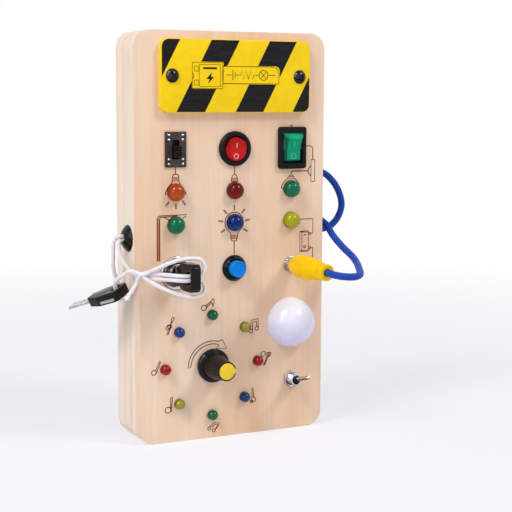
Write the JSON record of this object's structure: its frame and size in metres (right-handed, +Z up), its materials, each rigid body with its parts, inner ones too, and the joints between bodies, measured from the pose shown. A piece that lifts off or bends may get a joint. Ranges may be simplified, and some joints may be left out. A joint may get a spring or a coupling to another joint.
{
  "type": "wooden busy board",
  "caption": "Upright laminated wooden busy board with toy switches, tinted lamps, a key lock with key on a cord, a patch cable, a white lamp dome and a rotary selector.",
  "frame": {"origin": "middle of the flat base of the wooden case, halfway through its thickness", "axes": "+Z up along the height of the case, the front with all controls faces -Y, +X to the right seen from the front"},
  "size_m": [0.1481, 0.0826, 0.2],
  "materials": {
    "wood_face": "oiled, fine grain",
    "wood_layer": "sanded edge grain",
    "sign": "satin paint with black diagonal bands",
    "black_screw": "black zinc",
    "steel": "satin",
    "chrome": "polished",
    "brass": "satin",
    "black_plastic": "fine texture",
    "black_gloss": "glossy",
    "brown_plate": "dark plated",
    "red_rocker": "glossy",
    "green_rocker": "glossy",
    "blue_cap": "glossy",
    "amber_lens": "clear tinted",
    "red_lens": "clear tinted",
    "blue_lens": "clear tinted",
    "green_lens": "clear tinted",
    "lime_lens": "clear tinted",
    "white_dome": "frosted",
    "yellow_grip": "glossy",
    "blue_braid": "braided sleeve",
    "white_cord": "twisted",
    "black_rubber": "matt",
    "pcb": "satin",
    "cell": "wrapped"
  },
  "bodies": {
    "case": {"front_panel": "wood_face", "front_frame": "wood_layer", "middle_frame": "wood_layer", "rear_frame": "wood_layer", "back_cover": "wood_layer", "back_cover_screws": "black_screw", "sign_plate": "sign", "sign_screws": "black_screw", "battery_box": "black_plastic", "batteries": "cell", "circuit_board": "pcb", "contacts_and_leads": "steel", "panel_nuts": "steel", "slide_switch_housing": "brown_plate", "round_rocker_housing": "black_plastic", "square_rocker_housing": "black_plastic", "amber_led": "amber_lens", "red_led": "red_lens", "blue_led": "blue_lens", "green_leds": "green_lens", "lime_led": "lime_lens", "ring_leds_green": "green_lens", "ring_leds_lime": "lime_lens", "ring_leds_red": "red_lens", "ring_leds_blue": "blue_lens", "lamp_dome": "white_dome", "button_housing": "black_gloss", "button_spring": "steel", "lock_housing": "chrome", "jack_socket": "chrome", "cable": "blue_braid", "cable_grommet": "black_rubber", "toggle_housing": "chrome", "toggle_nut": "chrome", "selector_switch": "steel", "lanyard_grommet": "black_rubber", "lanyard": "white_cord", "lanyard_tail": "white_cord", "lanyard_side": "white_cord", "spare_key_head": "black_plastic", "spare_key_blade": "steel"},
    "slider": {"slide_switch_slider": "black_plastic"},
    "round_rocker": {"round_rocker_button": "red_rocker"},
    "square_rocker": {"square_rocker_button": "green_rocker"},
    "button": {"button_cap": "blue_cap"},
    "toggle": {"toggle_lever": "chrome"},
    "lock_cylinder": {"lock_cylinder": "chrome", "lanyard_hitch": "white_cord"},
    "key": {"key_blade": "steel", "key_head": "black_plastic", "key_loop_upper": "white_cord", "key_loop_lower": "white_cord"},
    "selector": {"selector_shaft": "steel", "knob_body": "black_plastic", "knob_cap": "yellow_grip"},
    "plug": {"plug_tip": "brass", "plug_grip": "yellow_grip", "cable_lead": "blue_braid"},
    "battery_door": {"battery_door": "black_plastic", "battery_door_screw": "steel"}
  },
  "joints": [
    {"name": "slide_switch", "type": "slide", "parent": "case", "child": "slider", "axis": [0, 0, 1], "range_m": [0, 0.002]},
    {"name": "round_rocker_tilt", "type": "hinge", "parent": "case", "child": "round_rocker", "pos_m": [0, -0.0155, 0.1435], "axis": [-1, 0, 0], "range_deg": [0, 22]},
    {"name": "square_rocker_tilt", "type": "hinge", "parent": "case", "child": "square_rocker", "pos_m": [0.0315, -0.0155, 0.1435], "axis": [-1, 0, 0], "range_deg": [0, 22]},
    {"name": "button_press", "type": "slide", "parent": "case", "child": "button", "axis": [0, 1, 0], "range_m": [0, 0.002], "stiffness_N_per_m": 600, "springref_m": -0.001, "deforming": ["button_spring"]},
    {"name": "toggle_tilt", "type": "hinge", "parent": "case", "child": "toggle", "pos_m": [0.0325, -0.019, 0.026], "axis": [1, 0, 0], "range_deg": [0, 30]},
    {"name": "lock_turn", "type": "hinge", "parent": "case", "child": "lock_cylinder", "pos_m": [-0.0315, -0.0184, 0.084], "axis": [0, -1, 0], "range_deg": [0, 90]},
    {"name": "key_pull", "type": "slide", "parent": "lock_cylinder", "child": "key", "axis": [0, -1, 0], "range_m": [0, 0.016]},
    {"name": "selector_turn", "type": "hinge", "parent": "case", "child": "selector", "pos_m": [-0.012, -0.015, 0.0368], "axis": [0, 1, 0], "range_deg": [-90, 225]},
    {"name": "plug_pull", "type": "slide", "parent": "case", "child": "plug", "axis": [0, -1, 0], "range_m": [0, 0.016]},
    {"name": "battery_door_lift", "type": "slide", "parent": "case", "child": "battery_door", "axis": [0, 1, 0], "range_m": [0, 0.015]}
  ]
}
